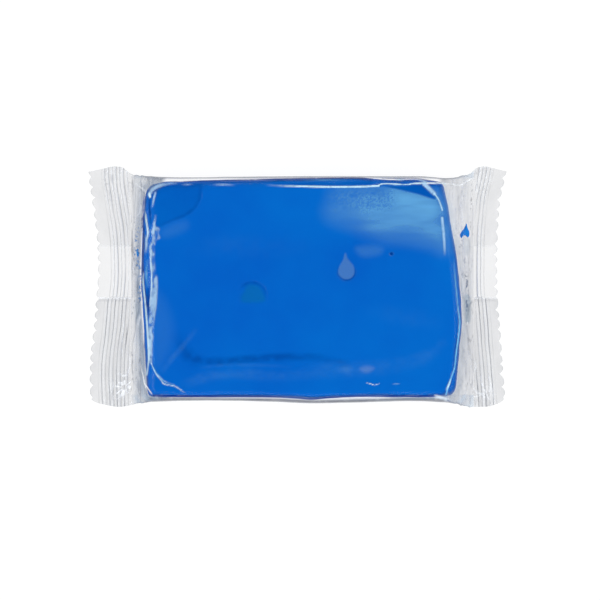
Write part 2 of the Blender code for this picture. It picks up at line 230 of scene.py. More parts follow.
# a wedge of painted shade between the far crease and the painted reflection
WEDGE_PATCH = [
    (21.7, 24.9), (26, 25.0), (31, 25.1), (32, 24.2), (33.6, 22.7), (34.2, 21.9), (33.4, 21.8),
    (30, 22.9), (25.5, 24.0),
]
DROP_PATCH = [
    (11.75, 8.3), (12.4, 6.8), (13.9, 4.9), (13.9, 2.9), (12.8, 1.9), (11.2, 1.9), (10.0, 3.2),
    (10.2, 4.8), (11.2, 6.6),
]
GREEN_PATCH = [
    (-13.4, -1.4), (-12.6, 0.2), (-11.0, 0.4), (-9.6, -0.2), (-8.5, -2.0), (-8.3, -3.6), (-10.5, -4.0),
    (-13.5, -3.9), (-14.2, -2.8),
]
ARC_PATCH = [
    (-36, 24), (-30, 25.4), (-24.2, 26.0), (-24.6, 21.6), (-27, 18.4), (-32, 16.1), (-35.2, 14.8),
    (-36.0, 19),
]
PATCHES = [
    (SHEEN_PATCH, 4.0, SHEEN_BLUE, 0.33),
    (SHEEN_MIDDLE, 2.8, SHEEN_BLUE, 0.24),
    (SHEEN_CORE, 2.2, SHEEN_BLUE, 0.26),
    (WEDGE_PATCH, 0.15, NAVY_SHADE, 0.1),
    ([(14.4, 9.6), (18, 10.1), (21, 9.4), (20, 7.9), (16, 7.5)], 1.1, SHEEN_BLUE, 0.12),
    (DROP_PATCH, 0.15, (0.4, 0.73, 0.78), 0.125),
    (GREEN_PATCH, 0.6, (0.01, 0.32, 0.5), 0.16),
    (ARC_PATCH, 0.5, NAVY_SHADE, 0.05),
    ([(-34.0, 13.6), (-31.5, 15.4), (-28, 16.2), (-27.4, 14.6), (-29.6, 13.2), (-33, 12.2)],
     1.4, SHEEN_BLUE, 0.07),
    ([(-35.9, 16.2), (-35.3, 15.0), (-34.3, 14.4), (-34.6, 13.2), (-34.2, 12.0), (-35.2, 11.4),
      (-35.6, 10.2), (-36.5, 10.6), (-36.2, 12.4), (-36.6, 13.8), (-36.0, 14.6)], 0.22, LAVENDER, 0.36),
    ([(-36.9, 10.4), (-35.8, 9.6), (-35.5, 4), (-34.9, 1.5), (-35.1, -4), (-35.8, -10), (-36.1, -15),
      (-36.4, -19.2), (-37.1, -17), (-37.2, -12), (-36.9, -6), (-36.6, 0), (-36.7, 5)],
     0.3, LAVENDER, 0.46),
    ([(11.2, -20.2), (12.4, -19.9), (13.4, -20.6), (12.4, -21.3), (11.3, -21.0)], 0.9, SHEEN_BLUE, 0.09),
    ([(15.6, -20.3), (17.4, -19.8), (18.9, -20.4), (17.2, -21.4), (15.8, -21.0)],
     0.7, (0.5, 0.72, 1.0), 0.12),
    ([(-36, -2), (-33.4, -3), (-31, -10), (-32, -16), (-35, -20), (-36.2, -14)], 2.2, SKY, 0.05),
    ([(22.8, 8.1), (23.2, 8.5), (23.7, 8.1), (23.2, 7.7)], 0.2, NAVY_SHADE, 0.45),
]

# Rows of specks caught in the film, each a line, its width, its colour and how much of it is
# laid down
SPECKS = [
    ([(-39.9, 14.5, 0.6), (-40.4, 11, 0.8), (-40.3, 7, 1), (-39.4, 2.5, 1), (-39.6, -3.6, 0.8)],
     0.9, (0.02, 0.17, 0.5), 0.95),
    ([(-38.6, 19.5, 0.8), (-38.9, 16, 1), (-38.4, 12, 0.7)], 0.35, (0.04, 0.08, 0.25), 0.8),
    ([(43.4, 26, 0.5), (43.3, 21, 1), (42.9, 16.5, 0.7), (42.9, 14, 0.4)], 0.3, DARK, 0.55),
    ([(40.9, 12.0, 0.6), (40.6, 9.5, 1), (41.4, 7.5, 0.5), (41.9, 2.0, 1), (42.0, -1.5, 1),
      (42.2, -7, 0.8)], 0.45, (0.05, 0.09, 0.2), 0.8),
]

# Marks on the film beside the slab
SMEARS = [
    ([(41.3, 12.2), (42.6, 12.2), (42.9, 9.8), (42.3, 7.7), (41.4, 8.8)], 0.4, BLUE_GREY, 0.16),
    ([(41.6, -2.2), (42.9, -2.6), (43.2, -7.0), (42.6, -9.2), (41.7, -8.5), (41.4, -5.0)],
     0.4, (0.16, 0.3, 0.42), 0.3),
    ([(42.0, -8.9), (42.4, -9.0), (42.4, -9.6), (42.0, -9.6)], 0.12, WHITE, 0.95),
    ([(-41.2, -3.8), (-40.0, -3.6), (-39.5, -6), (-40.0, -9.0), (-41.0, -8)], 0.5, (0.25, 0.38, 0.5), 0.16),
]

# Painted highlights and painted shade on creases in the end seals, where the film was gathered
# as it was sealed, given like the specks
SEAL_CREASES_LIGHT_AND_SHADE = [
    ([(-43.5, -7.8, 0.4), (-43.9, -14, 1), (-44.0, -19.5, 0.5)], 0.3, WHITE, 0.9),
    ([(-42.9, -9.5, 0.3), (-42.9, -12, 1), (-43.1, -15, 0.5)], 0.26, DARK, 0.5),
    ([(45.6, -22.6, 0.5), (46.0, -24.5, 1), (47.0, -26.6, 1), (47.7, -28.2, 0.6)], 0.35, WHITE, 1.0),
    ([(42.6, -22.8, 0.4), (43.4, -23.6, 1), (44.0, -25.5, 0.7), (44.8, -26.6, 1), (46.6, -26.9, 0.6)],
     0.4, WHITE, 1.0),
    ([(44.2, -18.6, 0.4), (44.5, -20, 1), (44.0, -21.3, 0.6)], 0.4, WHITE, 0.9),
    ([(47.7, -22.5, 0.4), (48.6, -26, 1), (49.1, -29.2, 0.8)], 0.3, WHITE, 1.0),
    ([(42.8, -26.8, 0.5), (43.8, -27.6, 1), (45.8, -27.2, 0.5)], 0.3, WHITE, 0.9),
    ([(45.1, 27.9, 0.4), (45.8, 29.2, 0.8), (47.2, 29.7, 0.4)], 0.25, SILVER, 0.7),
    ([(-44.7, -21.7, 0.6), (-43.9, -22.3, 1), (-42.6, -22.1, 0.7)], 0.45, WHITE, 0.9),
    ([(-42.1, -17.5, 0.4), (-42.0, -19.5, 1), (-42.5, -21.5, 0.8)], 0.4, WHITE, 0.9),
    ([(-46.4, -23.2, 0.5), (-46.1, -24.8, 1), (-46.6, -26.5, 0.6)], 0.28, WHITE, 0.8),
]
# the middle of a star of painted highlights on creases in the left seal
STAR = (-43.4, -25.2)
STAR_POINTS = 14

# Painted light and painted shade of faint waves in the clay seen through the film, given like
# the specks
WAVES_LIGHT_AND_SHADE = [
    ([(-33.7, -21.1, 0.4), (-31, -17.6, 1), (-28.4, -14.6, 1), (-25.6, -10.9, 0.3)], 1.1, SHEEN_BLUE, 0.07),
    ([(-30, -12.5, 0.2), (-27.8, -16.4, 1), (-25.5, -18.6, 0.5)], 2.6, NAVY_SHADE, 0.11),
    ([(-28, -17.8, 0.4), (-20, -18.6, 1), (-12, -18.0, 0.9), (-4, -17.6, 0.9), (4, -17.6, 0.5),
      (12, -19.2, 0.4)], 1.6, NAVY_SHADE, 0.16),
    ([(-28, -24.2, 0.3), (-22, -22.4, 1), (-14, -21.7, 0.8), (-6, -22.3, 0.6), (2, -21.8, 0.3)],
     2.2, SHEEN_BLUE, 0.06),
    ([(-24, -20.2, 0.3), (-18, -19.6, 0.8), (-10, -19.6, 0.6), (-2, -20.0, 0.3)], 0.8, SHEEN_BLUE, 0.05),
    ([(-26, 9, 0.2), (-18, 10.4, 0.8), (-8, 9.6, 0.5), (2, 10.6, 0.2)], 5.0, SHEEN_BLUE, 0.018),
    ([(18, -6, 0.2), (26, -7.5, 1), (34, -9, 0.4)], 4.0, SHEEN_BLUE, 0.018),
    ([(2, -21.4, 0.2), (8, -20.8, 1), (20, -20.2, 0.6), (32, -18.0, 0.3)], 3.2, SHEEN_BLUE, 0.055),
    ([(29, -18.4, 0.3), (33, -16.6, 1), (36, -14.2, 0.5)], 2.4, SHEEN_BLUE, 0.03),
    ([(-14.4, -0.7, 0.2), (-13.0, 0.6, 1), (-10.8, 0.9, 1), (-8.6, -0.4, 0.9), (-8.0, -2.4, 0.2)],
     0.6, NAVY_SHADE, 0.13),
    ([(-24.2, 26.2, 0.4), (-24.6, 21.6, 1), (-27, 18.4, 1), (-32, 16.1, 0.6), (-35, 14.9, 0.2)],
     0.7, NAVY_SHADE, 0.14),
    ([(10.0, 4.9, 0.3), (10.0, 3.0, 0.8), (11.2, 1.8, 1), (12.8, 1.7, 1), (14.1, 3.0, 0.8),
      (14.1, 4.9, 0.3)], 0.45, NAVY_SHADE, 0.18),
    ([(-38.3, 22.4, 0.7), (-38.6, 18, 1), (-38.4, 12, 0.8), (-38.7, 6, 1), (-38.3, 0.5, 0.9),
      (-37.6, -5, 0.7)], 0.45, NAVY_SHADE, 0.55),
    ([(-37.0, 22, 0.6), (-36.9, 19, 0.9), (-36.6, 15.5, 0.5)], 0.45, NAVY_SHADE, 0.35),
    ([(-37.2, -0.5, 0.6), (-37.2, -4, 1), (-37.1, -7.5, 0.4)], 0.6, NAVY_SHADE, 0.45),
]

# Outlines of the crumbs of clay, measured from their middles
RIGHT_CRUMB = [
    (0.42, 2.15), (0.72, 1.0), (1.12, 0.1), (1.1, -0.9), (0.7, -1.35), (0.2, -0.9), (-0.35, -0.9),
    (-0.85, -1.5), (-1.22, -0.8), (-0.85, 0.1), (-0.3, 0.8), (0.05, 1.4),
]
LEFT_CRUMB = [
    (-0.15, 1.05), (0.2, 0.9), (0.1, 0.35), (0.4, 0.1), (0.3, -0.6), (-0.05, -1.1), (-0.25, -0.5),
    (-0.35, 0.2),
]

# How far the slab's far side is pressed in, as (x, y) pairs
FAR_DIPS = [
    (-40, -0.7), (-37.5, -0.6), (-35.5, -0.7), (-32.7, -0.55), (-30, -0.7), (-24, -0.45), (-16, -0.35),
    (-10.5, -0.5), (-5, -0.25), (1, -0.25), (8, 0.05), (15.5, 0.2), (19, -0.05), (30, 0.05),
    (35, -0.05), (45, 0.0),
]

# How far its other sides stand out or in: near side as (x, y), left and right as (y, x)
NEAR_BULGES = [
    (-45, -0.1), (-30, -0.15), (-9, -0.2), (-1.4, -0.45), (3.3, -0.65), (8, -0.4), (15, -0.1),
    (36, -0.1), (45, 0.0),
]
LEFT_DIPS = [
    (-30, 0.2), (-16, 0.2), (-8, -0.1), (0, -0.35), (8, -0.3), (14, 0.0), (18, 0.15), (24, 0.6),
    (28, 0.7),
]
RIGHT_BULGES = [(-30, -0.3), (-24, 0.0), (-12, 0.25), (2, 0.35), (16, 0.4), (24, 0.3), (28, 0.2)]


def ease(t):
    t = np.clip(t, 0.0, 1.0)
    return t * t * (3 - 2 * t)


def through(at, knots):
    """A smooth curve through the knots, read at the given places."""
    place, value = np.array(knots, float).T
    slope = np.gradient(value, place)
    i = np.clip(np.searchsorted(place, at) - 1, 0, len(place) - 2)
    span = place[i + 1] - place[i]
    t = np.clip((at - place[i]) / span, 0.0, 1.0)
    start = value[i] * (1 + 2 * t) * (1 - t) ** 2 + slope[i] * span * t * (1 - t) ** 2
    end = value[i + 1] * t * t * (3 - 2 * t) + slope[i + 1] * span * t * t * (t - 1)
    return start + end


def noise(x, y, seed):
    """Smooth noise from -1 to 1, with lumps one unit wide."""
    table = np.random.default_rng(seed).uniform(-1.0, 1.0, (256, 256))
    column, row = np.floor(x).astype(int), np.floor(y).astype(int)
    across, up = ease(x - column), ease(y - row)

    def corner(i, j):
        return table[(column + i) % 256, (row + j) % 256]

    low = corner(0, 0) * (1 - across) + corner(1, 0) * across
    high = corner(0, 1) * (1 - across) + corner(1, 1) * across
    return low * (1 - up) + high * up


def rough_noise(x, y, seed, octaves=3):
    total = 0.0
    for octave in range(octaves):
        total = total + noise(x * 2 ** octave, y * 2 ** octave, seed + octave) / 2 ** octave
    return total


def ridges(x, y, seed, sharpness=3.0):
    """Thin lines, 1 on the line and 0 away from it, where noise changes sign."""
    return np.clip(1 - np.abs(rough_noise(x, y, seed, 2)) * sharpness, 0.0, 1.0) ** 2


# ---------------------------------------------------------------- meshes


def make_object(name, grids, material):
    """Joins grids of points into one mesh.

    Each grid is (points, normals, colours), arrays of columns by rows, in millimetres."""
    verts, faces, normals, colours = [], [], [], []
    for points, directions, paint in grids:
        columns, rows = points.shape[:2]
        first = len(verts)
        verts.extend((points.reshape(-1, 3) * MM).tolist())
        normals.extend(directions.reshape(-1, 3).tolist())
        colours.append(paint.reshape(-1, 4))
        index = np.arange(columns * rows).reshape(columns, rows) + first
        quads = [index[:-1, :-1], index[1:, :-1], index[1:, 1:], index[:-1, 1:]]
        if directions[columns // 2, rows // 2, 2] < 0:
            quads = quads[::-1]
        faces.extend(np.stack(quads, axis=-1).reshape(-1, 4).tolist())
    mesh = bpy.data.meshes.new(name)
    mesh.from_pydata(verts, [], faces)
    mesh.shade_smooth()
    mesh.normals_split_custom_set_from_vertices(normals)
    layer = mesh.color_attributes.new("film", "FLOAT_COLOR", "POINT")
    layer.data.foreach_set("color", np.concatenate(colours).astype(np.float32).ravel())
    made = bpy.data.objects.new(name, mesh)
    bpy.context.scene.collection.objects.link(made)
    mesh.materials.append(material)
    return made


def grid_normals(points, up):
    directions = np.cross(np.gradient(points, axis=0), np.gradient(points, axis=1))
    directions /= np.linalg.norm(directions, axis=2, keepdims=True) + 1e-12
    return directions if up else -directions


def push_out(points, tree, clearance):
    """Moves points that are in the slab, or nearer to it than the clearance, out of it.

    Also gives each point's distance from the slab, up to a limit."""
    limit = 6.0
    flat = points.reshape(-1, 3)
    distance = np.full(len(flat), limit)
    for i, point in enumerate(flat):
        place, normal, _, away = tree.find_nearest(Vector(point), limit)
        if place is None:
            continue
        inside = (Vector(point) - place).dot(normal) < 0
        distance[i] = -away if inside else away
        if distance[i] < clearance:
            flat[i] = place + normal * clearance
            distance[i] = clearance
    return flat.reshape(points.shape), distance.reshape(points.shape[:2])


# ---------------------------------------------------------------- the film's shape


def section(y_near, y_far, shoulder, power, height):
    """Points (y, z above the seals) from one side of the tube over the top to the other."""
    turn = np.linspace(0.0, math.pi / 2, 90)
    out = np.cos(turn) ** (2 / power)
    rise = np.sin(turn) ** (2 / power)
    near = np.stack([y_near + shoulder * (1 - out), height * rise], axis=1)
    far = np.stack([y_far - shoulder * (1 - out), height * rise], axis=1)[::-1]
    line = np.concatenate([near, far])
    steps = np.linalg.norm(np.diff(line, axis=0), axis=1)
    length = np.concatenate([[0.0], np.cumsum(steps)])
    at = np.linspace(0.0, length[-1], ROWS)
    return np.interp(at, length, line[:, 0]), np.interp(at, length, line[:, 1])


def taper(x, y, power):
    """How far the film has risen from the seals' level to the slab's face, from 0 to 1."""
    left = (x - LEFT_ROOT) / (LEFT_FACE_X - LEFT_ROOT)
    right = (RIGHT_ROOT - x) / (RIGHT_ROOT - through(y, RIGHT_FACE))
    share = np.clip(np.minimum(left, right), 0.0, 1.0)
    return 1 - (1 - share) ** power


def body_columns():
    """Places of the film's columns between the seals' roots."""
    dense_left = np.arange(LEFT_ROOT, -33.0, 0.18)
    middle = np.concatenate([np.arange(-33.0, 5.0, 0.36), np.arange(5.0, 30.0, 0.22)])
    dense_right = np.linspace(30.0, RIGHT_ROOT, 76)
    return np.concatenate([dense_left, middle, dense_right])


def body_sheet(height, taper_power):
    """Half of the tube of film between the seals' roots, above or below the seals' level."""
    xs = body_columns()
    points = np.zeros((len(xs), ROWS, 3))
    for i, x in enumerate(xs):
        from_root = min(x - LEFT_ROOT, RIGHT_ROOT - x)
        near_root = float(ease(1 - from_root / 7.0))
        middle = float(taper(x, np.array(0.0), taper_power))
        level = max(abs(height) * middle, 0.02)
        shoulder = 3.0 + 9.0 * near_root
        power = 2.5 - 0.5 * near_root
        y, z = section(
            float(through(x, NEAR_SIDE)), float(through(x, FAR_SIDE)), shoulder, power, level
        )
        share = taper(np.full(ROWS, x), y, taper_power)
        points[i, :, 0] = x
        points[i, :, 1] = y
        points[i, :, 2] = SEAL_Z + height * share * z / level
    return points


def seal_sheet(out):
    """The fused end seal from its root to its cut edge. out is -1 at the left, 1 at the right.

    Also gives each point's distance in from the line of the cut edge."""
    root, cut = (LEFT_ROOT, LEFT_CUT) if out < 0 else (RIGHT_ROOT, RIGHT_CUT)
    shares = np.linspace(0.0, 1.0, 72)
    t = np.linspace(0.0, 1.0, ROWS)
    corner_far = float(through(28.5, cut))
    corner_near = float(through(-28.5, cut))
    points = np.zeros((len(shares), ROWS, 3))
    for i, share in enumerate(shares):
        y_far = float(through(root + share * (corner_far - root), FAR_SIDE))
        y_near = float(through(root + share * (corner_near - root), NEAR_SIDE))
        y = y_near + (y_far - y_near) * t
        wander = 0.16 * noise(y / 3.0, y * 0, 5 + out)
        tooth = np.abs((y / TOOTH_PITCH + wander) % 1.0 - 0.5) * 2
        depth = TOOTH_DEPTH * (0.85 + 0.3 * noise(y / 2.0, y * 0 + 7, 6 + out))
        toothed = depth * tooth ** 2.2 * ease((share - 0.75) / 0.25)
        edge = through(y, cut) - out * toothed
        points[i, :, 0] = root + share * (edge - root)
        points[i, :, 1] = y
        points[i, :, 2] = SEAL_Z
    from_cut = np.abs(through(points[..., 1], cut) - points[..., 0])
    return points, from_cut


def in_flap(y):
    """1 where the end seal also holds the end of the fin, which lies against it."""
    return ease((y - FIN_ROOT + 0.2) / 0.4) * ease((FLAP_FAR - y) / 1.0)


def rib_phase(points, from_cut, root):
    """Where each point is between two ribs, from 0 to 1, and how deep the ribs are there."""
    y = points[..., 1]
    start = RIB_MARGIN + FLAP_SHIFT * ease((y - FIN_ROOT) / 0.3)
    wobble = 0.06 * rough_noise(y / 7.0, from_cut / 4.0, 31)
    phase = (from_cut - start) / RIB_PITCH + wobble
    depth = ease((from_cut - start + 0.5) / 0.4) * ease((np.abs(points[..., 0] - root) - 0.1) / 0.8)
    return phase % 1.0, depth


def rib_profile(phase):
    """A flat-topped rib: 1 on the rib and -1 in the groove, with short slopes between."""
    return np.clip(5.0 * (0.5 - np.abs(2 * phase - 1)), -1.0, 1.0)


def emboss_seal(points, from_cut, root):
    phase, depth = rib_phase(points, from_cut, root)
    y = points[..., 1]
    from_root = np.abs(points[..., 0] - root)
    free = ease(from_root / 1.5)
    curl = 0.30 * rough_noise(from_root / 7.0 + 9, y / 11.0, 40, 2)
    crumple = 0.16 * ease((np.abs(y + 1) - 21.0) / 5.0) * rough_noise(points[..., 0] / 1.3, y / 3.6, 50)
    fine = 0.03 * rough_noise(points[..., 0] / 1.1, y / 6.0, 55, 2)
    points[..., 2] += RIB_HEIGHT * rib_profile(phase) * depth
    points[..., 2] += (curl + crumple + fine + 0.18 * in_flap(y)) * free
    return points


def wrinkle(points, directions, distance, creased):
    """Folds the film where it stands off the slab, and along its creases."""
    x, y = points[..., 0], points[..., 1]
    from_root = np.minimum(x - LEFT_ROOT, RIGHT_ROOT - x)
    free = ease((distance - 0.12) / 0.9)
    pinned = ease(from_root / 0.6)
    end = ease(1 - from_root / 7.0)
    along = ridges(x / 1.6, y / 9.0, 61) * 0.25
    lumps = rough_noise(x / 1.5, y / 3.4, 71) * 0.14
    corner = ease((np.abs(y) - 19.0) / 8.0) * end
    crumple = (rough_noise(x / 1.2, y / 2.4, 81) * 0.14 + ridges(x / 1.6, y / 3.0, 83) * 0.16) * corner
    side = rough_noise(x / 9.0, y / 1.5, 91) * 0.06 * (1 - end)
    height = (end * (along + lumps) + crumple + side) * free * pinned
    height += 0.015 * rough_noise(x / 12.0, y / 8.0, 95, 2)
    if creased:
        for line, width, _, _, rise in CREASES_LIGHT_AND_SHADE:
            height += rise * stroke(points, line, width, 1.0) * pinned
    return points + directions * height[..., None]


# ---------------------------------------------------------------- the film's paint


def bare_paint(points):
    """Paint of plain film: red, green, blue and how much of it shows."""
    paint = np.zeros(points.shape[:2] + (4,))
    paint[...] = WHITE + (BARE,)
    return paint


def over(paint, colour, amount):
    """Lays a colour over the paint by an amount from 0 to 1."""
    amount = np.clip(amount, 0.0, 1.0)
    under = paint[..., 3] * (1 - amount)
    total = amount + under
    share = (amount / total)[..., None]
    paint[..., :3] = np.array(colour) * share + paint[..., :3] * (1 - share)
    paint[..., 3] = total


def near_line(points, px, py, reach):
    """Points near a line, as a mask and as a list, to save working out far ones."""
    x, y = points[..., 0], points[..., 1]
    across = (x > px.min() - reach) & (x < px.max() + reach)
    near = across & (y > py.min() - reach) & (y < py.max() + reach)
    return near, np.stack([x[near], y[near]], axis=1)


def from_segment(spots, start, stop):
    """Each spot's distance from a straight segment, and how far along it the nearest point is."""
    step = stop - start
    t = np.clip((spots - start) @ step / max(step @ step, 1e-9), 0, 1)
    return np.linalg.norm(spots - start - t[:, None] * step, axis=1), t


def stroke(points, line, width, soft=0.6):
    """1 on a line drawn over the film and 0 away from it.

    The line is a list of (x, y, strength), and a smooth curve is drawn through it."""
    xs, ys, strengths = np.array(line, float).T
    knots = np.arange(len(line))
    fine = np.linspace(0, len(line) - 1, 8 * len(line))
    path = np.stack([through(fine, list(zip(knots, xs))), through(fine, list(zip(knots, ys)))], axis=1)
    strengths = np.interp(fine, knots, strengths)
    half = width / 2
    near, spots = near_line(points, path[:, 0], path[:, 1], half * (1 + soft) + 0.3)
    best = np.full(len(spots), 1e9)
    strength = np.zeros(len(spots))
    for k in range(len(fine) - 1):
        away, t = from_segment(spots, path[k], path[k + 1])
        closer = away < best
        best = np.where(closer, away, best)
        strength = np.where(closer, strengths[k] + (strengths[k + 1] - strengths[k]) * t, strength)
    result = np.zeros(points.shape[:2])
    result[near] = strength * ease((half * (1 + soft) - best) / (half * 2 * soft))
    return result


def patch(points, outline, soft):
    """1 inside a closed outline drawn over the film and 0 outside, over a soft edge."""
    ring = outline[-2:] + outline + outline[:3]
    knots = np.arange(len(ring)) - 2.0
    fine = np.linspace(0, len(outline), 6 * len(outline) + 1)
    xs, ys = np.array(ring, float).T
    path = np.stack([through(fine, list(zip(knots, xs))), through(fine, list(zip(knots, ys)))], axis=1)
    near, spots = near_line(points, path[:, 0], path[:, 1], soft)
    best = np.full(len(spots), 1e9)
    inside = np.zeros(len(spots), bool)
    for start, stop in zip(path[:-1], path[1:]):
        best = np.minimum(best, from_segment(spots, start, stop)[0])
        crosses = (start[1] > spots[:, 1]) != (stop[1] > spots[:, 1])
        rise = stop[1] - start[1]
        if rise:
            at = start[0] + (spots[:, 1] - start[1]) * (stop[0] - start[0]) / rise
            inside ^= crosses & (spots[:, 0] < at)
    result = np.zeros(points.shape[:2])
    result[near] = ease((np.where(inside, best, -best) + soft) / (2 * soft))
    return result


def paint_body(points, distance):
    """Paint of the film beside the slab, where two layers of it are seen."""
    x, y = points[..., 0], points[..., 1]
    paint = bare_paint(points)
    free = ease((distance - 0.2) / 0.5)
    from_root = np.minimum(x - LEFT_ROOT, RIGHT_ROOT - x)
    end = ease((9.0 - from_root) / 2.0)
    by_slab = ease((2.2 - distance) / 1.6) * ease(from_root / 1.5)
    mottle = 1.0 + 0.2 * rough_noise(x / 2.0, y / 5.0, 12)
    shade = 1 + 0.35 * ease((4.0 - y) / 8.0)
    over(paint, GREY, 0.11 * free * mottle * end)
    # a painted reflection of the blue clay with painted shade, stronger by the slab, towards the near side
    # and on the left
    shade = shade * np.where(x < 0, 1.2, 0.5) * ease(from_root / 1.6)
    over(paint, BLUE_GREY, 0.245 * free * (0.35 + 0.65 * by_slab) * shade * mottle * end)
    # painted highlight streaks and painted shade streaks on the film beside the seals
    streaky = end * np.where(x < 0, 0.9, 0.45)
    over(paint, WHITE, 0.45 * ridges(x / 1.0, y / 12.0, 62, 5.0) * free * streaky)
    over(paint, GREY, 0.35 * ridges(x / 0.9, y / 10.0, 66, 8.0) * free * streaky)
    # a painted sheen on the film's steep sides along the slab
    wall = ease((np.abs(y) - 26.8) / 0.5) * ease((distance - 0.2) / 0.4)
    over(paint, SILVER, 0.12 * wall)
    gleam = np.clip(0.6 + 1.2 * rough_noise(x / 11.0, points[..., 2] / 0.9, 68), 0, 2)
    over(paint, LAVENDER, 0.10 * wall * gleam)
    return paint


def lay_lines(points, paint, lines, soft, ragged=1.0):
    for line, width, colour, amount, *_ in lines:
        over(paint, colour, amount * ragged * stroke(points, line, width, soft))


def above_wall(points):
    """0 low on the steep sides of the film, beside the slab's long sides, and 1 elsewhere."""
    x, y, z = points[..., 0], points[..., 1], points[..., 2]
    wall = ease((np.abs(y) - 27.2) / 0.3) * ease((40.0 - np.abs(x)) / 3.0)
    return 1 - wall * (1 - ease((z - WALL_TOP) / 0.8))


def clear_over(points, paint, name, outline):
    """Leaves the film plain where it lies tight over a crumb."""
    low, high = (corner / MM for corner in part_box(name))
    middle = (low + high) / 2
    spread = [(middle.x + 1.15 * x, middle.y + 1.1 * y) for x, y in outline]
    paint[..., 3] *= 1 - 0.9 * patch(points, spread, 0.2)


def paint_marks(points, paint):
    """Adds what is seen only on the front of the slab."""
    x, y = points[..., 0], points[..., 1]
    for outline, soft, colour, amount in SMEARS:
        over(paint, colour, amount * patch(points, outline, soft))
    clear_over(points, paint, "clay_crumb_right", RIGHT_CRUMB)
    clear_over(points, paint, "clay_crumb_left", LEFT_CRUMB)
    sparkle = patch(points, SHEEN_SPARKLE_PATCH, 2.4)
    grain = ease((noise(x / 0.24, y / 0.24, 17) + 0.7) / 1.4)
    for outline, soft, colour, amount in PATCHES:
        level = patch(points, outline, soft)
        # the sheen patches are a painted reflection, broken into sparkle, left out at the wedge and above the
        # far crease
        if colour is SHEEN_BLUE and amount > 0.2:
            level = level * (0.9 + 0.22 * rough_noise(x / 9.0, y / 1.6, 14)) * (1 - sparkle * grain * 0.6)
            level = level * (1 - patch(points, WEDGE_PATCH, 0.25)) * ease((25.2 - y) / 0.5)
        # the lavender patches are painted highlights
        elif colour is LAVENDER:
            level = level * np.clip(0.8 + 0.8 * rough_noise(x / 0.8, y / 1.6, 15), 0, 1.3)
        over(paint, colour, level * amount)
    lay_lines(points, paint, WAVES_LIGHT_AND_SHADE, 0.9, np.clip(0.9 + 0.5 * rough_noise(x / 1.3, y / 1.3, 20), 0, 2))
    lay_lines(points, paint, SPECKS, 0.9, ease((rough_noise(x / 0.35, y / 0.5, 18) - 0.25) / 0.3))
    ragged = np.clip(1.0 + 0.35 * rough_noise(x / 0.9, y / 0.9, 19), 0, 1)
    lay_lines(points, paint, CREASES_LIGHT_AND_SHADE, 0.6, ragged * above_wall(points))


def paint_seal(points, from_cut, root):
    x, y = points[..., 0], points[..., 1]
    paint = bare_paint(points)
    phase, depth = rib_phase(points, from_cut, root)
    flap = in_flap(y)
    near_half = ease((FIN_ROOT - y) / 0.3)
    mottle = 1.0 + 0.15 * rough_noise(from_cut / 2.5, y / 5.0, 13)
    over(paint, GREY, (0.28 + 0.06 * near_half) * mottle * (1 - 0.4 * flap))
    streak = 0.85 + 0.5 * rough_noise(from_cut / 1.9, y / 9.0, 23, 2)
    # painted highlights and painted shade along the flanks of the ribs
    for at, colour, lower, upper in (
        (0.28, DARK, 0.85, 0.40), (0.19, WHITE, 0.60, 1.0), (0.71, WHITE, 0.45, 1.0),
        (0.80, DARK, 0.34, 0.40),
    ):
        line = np.exp(-((phase - at) / 0.055) ** 2) * depth
        amount = lower * near_half + upper * (1 - near_half)
        over(paint, colour, amount * line * np.clip(streak, 0.15, 1))
    # a painted highlight on the tops of the ribs
    lit = np.exp(-((phase - 0.48) / 0.16) ** 2) * depth
    over(paint, WHITE, 0.22 * lit * (0.6 + 0.6 * noise(from_cut / 1.9, y / 12.0, 29)))
    # painted highlights along the flap's edges, and a line of painted shade just below its lower edge
    step = np.exp(-((y - FIN_ROOT) / 0.22) ** 2) + np.exp(-((y - FLAP_FAR + 0.5) / 0.25) ** 2) * 0.3
    over(paint, WHITE, 0.7 * step * ease(from_cut / 1.0) * np.clip(1 + 0.8 * noise(x / 0.8, y * 0, 33), 0, 1))
    over(paint, GREY, 0.16 * np.exp(-((y - FIN_ROOT + 0.55) / 0.3) ** 2) * ease(from_cut / 1.0))
    # painted highlights and painted shade on the crumpled corners of the seal
    crumpled = ease((np.abs(y + 1) - 20.0) / 5.0) * ease((from_cut - RIB_MARGIN) / 1.5)
    over(paint, WHITE, 0.6 * crumpled * ridges(x / 0.9, y / 5.0, 27, 6.0))
    over(paint, GREY, 0.30 * crumpled * ridges(x / 0.8, y / 4.5, 28, 6.0))
    over(paint, GREY, 0.25 * ease((0.35 - from_cut) / 0.3))
    # painted highlights and painted shade on the seal's creases
    lay_lines(points, paint, SEAL_CREASES_LIGHT_AND_SHADE, 0.6, np.clip(0.8 + 0.6 * rough_noise(x / 0.7, y / 0.7, 35), 0, 1))
    # painted highlights on a star of creases in the left seal
    for k in range(STAR_POINTS):
        turn = 2 * math.pi * k / STAR_POINTS + 0.3 * math.sin(5.0 * k)
        reach = 2.0 + 0.6 * math.cos(7.0 * k)
        way = Vector((math.cos(turn), math.sin(turn)))
        ray = [(STAR[0] + step * way.x, STAR[1] + step * way.y, 1.0) for step in (0.8, 1.3, reach)]
        over(paint, WHITE, stroke(points, ray, 0.36))
    return paint


# ---------------------------------------------------------------- materials


def new_material(name):
    made = bpy.data.materials.new(name)
    made.use_nodes = True
    nodes = made.node_tree.nodes
    return made, nodes, made.node_tree.links, nodes["Principled BSDF"]


